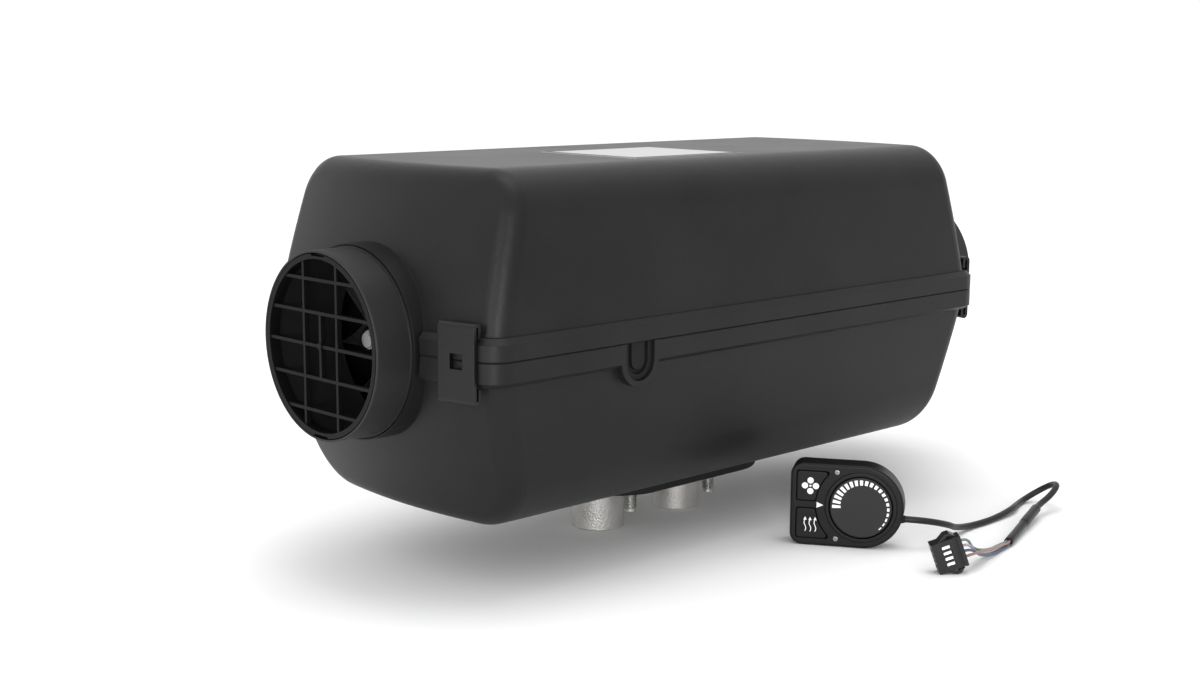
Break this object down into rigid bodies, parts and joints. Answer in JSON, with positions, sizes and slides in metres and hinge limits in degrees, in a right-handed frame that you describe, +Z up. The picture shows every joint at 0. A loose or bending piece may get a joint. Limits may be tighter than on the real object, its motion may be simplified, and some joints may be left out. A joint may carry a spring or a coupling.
{
  "type": "diesel air heater",
  "caption": "Box-shaped forced-air fuel heater with round inlet and outlet collars, clipped two-part casing, bottom exhaust and intake stubs, and a corded rotary controller.",
  "frame": {"origin": "centre of the four mounting studs, on the underside of the flange gasket that meets the vehicle floor", "axes": "+X from the cold air inlet to the hot air outlet along the air duct, +Z up away from the mounting face, +Y away from the side that the controller lies on"},
  "size_m": [0.3966, 0.2427, 0.174],
  "materials": {
    "casing_plastic": "fine grained matt charcoal plastic",
    "clip_steel": "black coated spring steel",
    "soft_rubber": "matt black rubber",
    "label_film": "white film, no print but a plain border",
    "zinc_steel": "zinc plated steel",
    "cast_alloy": "blasted cast aluminium",
    "brass_pipe": "drawn brass",
    "sheet_gasket": "graphite fibre sheet",
    "burner_steel": "heat resistant steel sheet",
    "black_gloss": "satin black plastic",
    "fan_plastic": "matt black plastic",
    "bright_chrome": "bright plated nut",
    "board_green": "solder-masked circuit board",
    "cable_rubber": "black flexible sheath",
    "wire_insulation": "thin insulation in four colours"
  },
  "bodies": {
    "heater": {"upper_casing": "casing_plastic", "lower_casing": "casing_plastic", "inlet_collar": "casing_plastic", "outlet_collar": "casing_plastic", "inlet_grille": "casing_plastic", "cable_port_plugs": "soft_rubber", "rating_label": "label_film", "flange_gasket": "soft_rubber", "mounting_studs": "zinc_steel", "base_casting": "cast_alloy", "fuel_pipe": "brass_pipe", "heat_exchanger": "cast_alloy", "burner_gasket": "sheet_gasket", "combustion_chamber": "burner_steel", "glow_plug": "zinc_steel", "glow_plug_screen": "burner_steel", "glow_plug_cap": "soft_rubber", "overheat_sensor": "black_gloss", "sensor_clip": "zinc_steel", "blower_housing": "cast_alloy", "diffuser_plate": "burner_steel", "housing_bolts": "zinc_steel", "motor_can": "zinc_steel", "motor_bearings": "brass_pipe", "control_unit": "fan_plastic", "control_unit_board": "board_green", "internal_leads": "cable_rubber", "controller_front": "black_gloss", "controller_back": "fan_plastic", "controller_screws": "zinc_steel", "controller_board": "board_green", "potentiometer": "fan_plastic", "cable_gland": "cable_rubber", "controller_cable": "cable_rubber", "heat_shrink_sleeve": "black_gloss", "connector_housing": "fan_plastic", "connector_contacts": "brass_pipe", "lead_wires": "wire_insulation"},
    "fan": {"motor_shaft": "zinc_steel", "motor_armature": "burner_steel", "cooling_fan": "fan_plastic", "speed_magnet": "zinc_steel", "fan_nut": "bright_chrome", "combustion_impeller": "cast_alloy"},
    "dial": {"dial_knob": "fan_plastic", "potentiometer_shaft": "zinc_steel"},
    "button_fan_body": {"button_fan": "fan_plastic"},
    "button_heat_body": {"button_heat": "fan_plastic"},
    "clip_inlet_near_body": {"clip_inlet_near": "clip_steel"},
    "clip_inlet_far_body": {"clip_inlet_far": "clip_steel"},
    "clip_outlet_near_body": {"clip_outlet_near": "clip_steel"},
    "clip_outlet_far_body": {"clip_outlet_far": "clip_steel"}
  },
  "joints": [
    {"name": "fan_spin", "type": "hinge", "parent": "heater", "child": "fan", "pos_m": [-0.1, 0, 0.078], "axis": [1, 0, 0], "continuous": true},
    {"name": "dial_turn", "type": "hinge", "parent": "heater", "child": "dial", "pos_m": [0.03184, -0.10784, -0.0056], "axis": [-0.8462, -0.5329, 0], "range_deg": [0, 225]},
    {"name": "button_fan_press", "type": "slide", "parent": "heater", "child": "button_fan_body", "axis": [0.8462, 0.5329, 0], "range_m": [0, 0.0008], "stiffness_N_per_m": 1200, "springref_m": -0.0005},
    {"name": "button_heat_press", "type": "slide", "parent": "heater", "child": "button_heat_body", "axis": [0.8462, 0.5329, 0], "range_m": [0, 0.0008], "stiffness_N_per_m": 1200, "springref_m": -0.0005},
    {"name": "clip_inlet_near_off", "type": "slide", "parent": "heater", "child": "clip_inlet_near_body", "axis": [-0.977, -0.2131, 0], "range_m": [0, 0.024]},
    {"name": "clip_inlet_far_off", "type": "slide", "parent": "heater", "child": "clip_inlet_far_body", "axis": [-0.982, 0.1886, 0], "range_m": [0, 0.024]},
    {"name": "clip_outlet_near_off", "type": "slide", "parent": "heater", "child": "clip_outlet_near_body", "axis": [0.977, -0.2131, 0], "range_m": [0, 0.024]},
    {"name": "clip_outlet_far_off", "type": "slide", "parent": "heater", "child": "clip_outlet_far_body", "axis": [0.982, 0.1886, 0], "range_m": [0, 0.024]}
  ]
}
